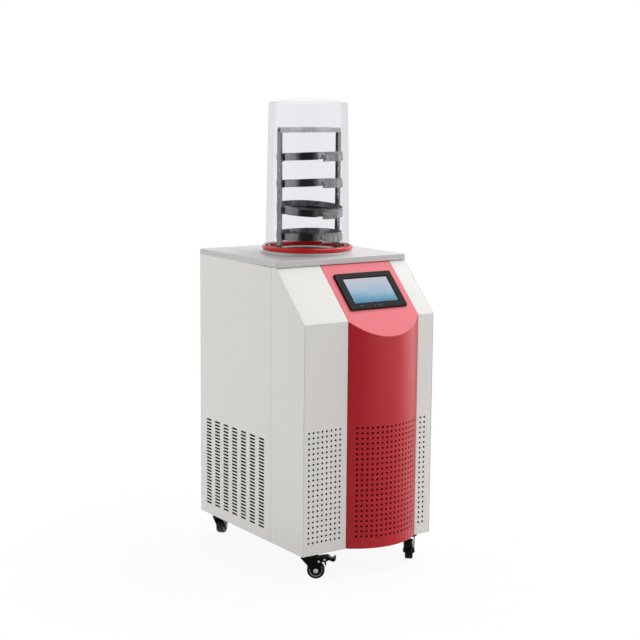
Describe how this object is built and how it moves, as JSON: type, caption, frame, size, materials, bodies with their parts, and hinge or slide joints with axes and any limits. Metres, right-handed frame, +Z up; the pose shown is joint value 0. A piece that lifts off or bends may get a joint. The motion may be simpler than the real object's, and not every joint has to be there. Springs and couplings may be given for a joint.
{
  "type": "laboratory freeze dryer",
  "caption": "Floor-standing freeze dryer: a cabinet on casters with a sloped touch screen, a steel worktop, and a clear bell jar over a rack of round trays on a cold trap.",
  "frame": {"origin": "bottom centre of the overall bounding box, on the floor", "axes": "+Z up, -Y towards the user, +X to the user's right"},
  "size_m": [0.4512, 0.64, 1.3443],
  "materials": {
    "panel_white": "fine textured powder coat",
    "band_red": "satin powder coat, dark red fading to salmon",
    "zinc_sheet": "galvanised",
    "stainless": "brushed stainless",
    "copper_jacket": "soldered copper jacket",
    "foam": "closed-cell foam",
    "silicone_red": "satin silicone",
    "clear_bell": "clear acrylic",
    "screen_black": "satin black",
    "screen_glass": "lit display behind glass",
    "machine_black": "gloss enamel",
    "fin_aluminium": "plain fins",
    "motor_grey": "enamel",
    "fan_black": "moulded",
    "inlet_black": "moulded",
    "rocker_black": "moulded",
    "nickel_brass": "nickel plated",
    "lever_steel": "zinc plated",
    "caster_black": "black enamel",
    "rivet_steel": "bright zinc",
    "caster_wheel": "solid wheel",
    "pedal_black": "black enamel"
  },
  "bodies": {
    "cabinet": {"side_panel_left": "panel_white", "side_panel_right": "panel_white", "front_cover_left": "panel_white", "front_cover_right": "panel_white", "front_panel": "band_red", "slope_fascia": "band_red", "rear_panel": "panel_white", "base_plate": "zinc_sheet", "worktop": "stainless", "chamber_flange": "stainless", "cold_trap_pot": "stainless", "evaporator_jacket": "copper_jacket", "trap_insulation": "foam", "seal_ring": "silicone_red", "bell_jar": "clear_bell", "rack_post_left": "stainless", "rack_post_right": "stainless", "rack_crossbar": "stainless", "rack_hoop_1": "stainless", "rack_hoop_2": "stainless", "rack_hoop_3": "stainless", "rack_hoop_4": "stainless", "tray_1": "stainless", "tray_2": "stainless", "tray_3": "stainless", "tray_4": "stainless", "screen_bezel": "screen_black", "screen_glass": "screen_glass", "screen_case": "screen_black", "compressor": "machine_black", "condenser": "fin_aluminium", "fan_shroud": "machine_black", "fan_motor": "motor_grey", "control_box": "motor_grey", "power_inlet": "inlet_black", "vacuum_port": "stainless", "drain_valve": "nickel_brass", "front_left_caster_plate": "caster_black", "front_right_caster_plate": "caster_black", "rear_left_caster_plate": "caster_black", "rear_right_caster_plate": "caster_black"},
    "fan": {"fan_rotor": "fan_black"},
    "rocker": {"rocker_switch": "rocker_black"},
    "drain_handle": {"drain_lever": "lever_steel"},
    "front_left_caster_swivel": {"front_left_caster_fork": "caster_black", "front_left_caster_axle": "rivet_steel", "front_left_caster_pedal_pin": "rivet_steel"},
    "front_left_caster_roller": {"front_left_caster_wheel": "caster_wheel"},
    "front_left_caster_brake": {"front_left_caster_pedal": "pedal_black"},
    "front_right_caster_swivel": {"front_right_caster_fork": "caster_black", "front_right_caster_axle": "rivet_steel", "front_right_caster_pedal_pin": "rivet_steel"},
    "front_right_caster_roller": {"front_right_caster_wheel": "caster_wheel"},
    "front_right_caster_brake": {"front_right_caster_pedal": "pedal_black"},
    "rear_left_caster_swivel": {"rear_left_caster_fork": "caster_black", "rear_left_caster_axle": "rivet_steel"},
    "rear_left_caster_roller": {"rear_left_caster_wheel": "caster_wheel"},
    "rear_right_caster_swivel": {"rear_right_caster_fork": "caster_black", "rear_right_caster_axle": "rivet_steel"},
    "rear_right_caster_roller": {"rear_right_caster_wheel": "caster_wheel"}
  },
  "joints": [
    {"name": "fan_spin", "type": "hinge", "parent": "cabinet", "child": "fan", "pos_m": [0.04595, -0.186, 0.2265], "axis": [0, 1, 0], "continuous": true},
    {"name": "rocker_press", "type": "hinge", "parent": "cabinet", "child": "rocker", "pos_m": [-0.15, 0.2925, 0.2135], "axis": [0, 0, 1], "range_deg": [0, 16]},
    {"name": "drain_turn", "type": "hinge", "parent": "cabinet", "child": "drain_handle", "pos_m": [0.13, 0.3035, 0.1485], "axis": [0, 0, 1], "range_deg": [0, 90]},
    {"name": "front_left_caster_turn", "type": "hinge", "parent": "cabinet", "child": "front_left_caster_swivel", "pos_m": [-0.182, -0.237, 0.0665], "axis": [0, 0, 1], "continuous": true},
    {"name": "front_left_caster_roll", "type": "hinge", "parent": "front_left_caster_swivel", "child": "front_left_caster_roller", "pos_m": [-0.16316, -0.25019, 0.025], "axis": [0.5736, 0.8192, 0], "continuous": true},
    {"name": "front_left_caster_press", "type": "hinge", "parent": "front_left_caster_swivel", "child": "front_left_caster_brake", "pos_m": [-0.15661, -0.25478, 0.0525], "axis": [0.5736, 0.8192, 0], "range_deg": [0, 10]},
    {"name": "front_right_caster_turn", "type": "hinge", "parent": "cabinet", "child": "front_right_caster_swivel", "pos_m": [0.182, -0.237, 0.0665], "axis": [0, 0, 1], "continuous": true},
    {"name": "front_right_caster_roll", "type": "hinge", "parent": "front_right_caster_swivel", "child": "front_right_caster_roller", "pos_m": [0.16691, -0.25436, 0.025], "axis": [0.7547, -0.6561, 0], "continuous": true},
    {"name": "front_right_caster_press", "type": "hinge", "parent": "front_right_caster_swivel", "child": "front_right_caster_brake", "pos_m": [0.16166, -0.2604, 0.0525], "axis": [0.7547, -0.6561, 0], "range_deg": [0, 10]},
    {"name": "rear_left_caster_turn", "type": "hinge", "parent": "cabinet", "child": "rear_left_caster_swivel", "pos_m": [-0.182, 0.254, 0.0665], "axis": [0, 0, 1], "continuous": true},
    {"name": "rear_left_caster_roll", "type": "hinge", "parent": "rear_left_caster_swivel", "child": "rear_left_caster_roller", "pos_m": [-0.16438, 0.26878, 0.025], "axis": [-0.6428, 0.766, 0], "continuous": true},
    {"name": "rear_right_caster_turn", "type": "hinge", "parent": "cabinet", "child": "rear_right_caster_swivel", "pos_m": [0.182, 0.254, 0.0665], "axis": [0, 0, 1], "continuous": true},
    {"name": "rear_right_caster_roll", "type": "hinge", "parent": "rear_right_caster_swivel", "child": "rear_right_caster_roller", "pos_m": [0.16039, 0.26187, 0.025], "axis": [-0.342, -0.9397, 0], "continuous": true}
  ]
}
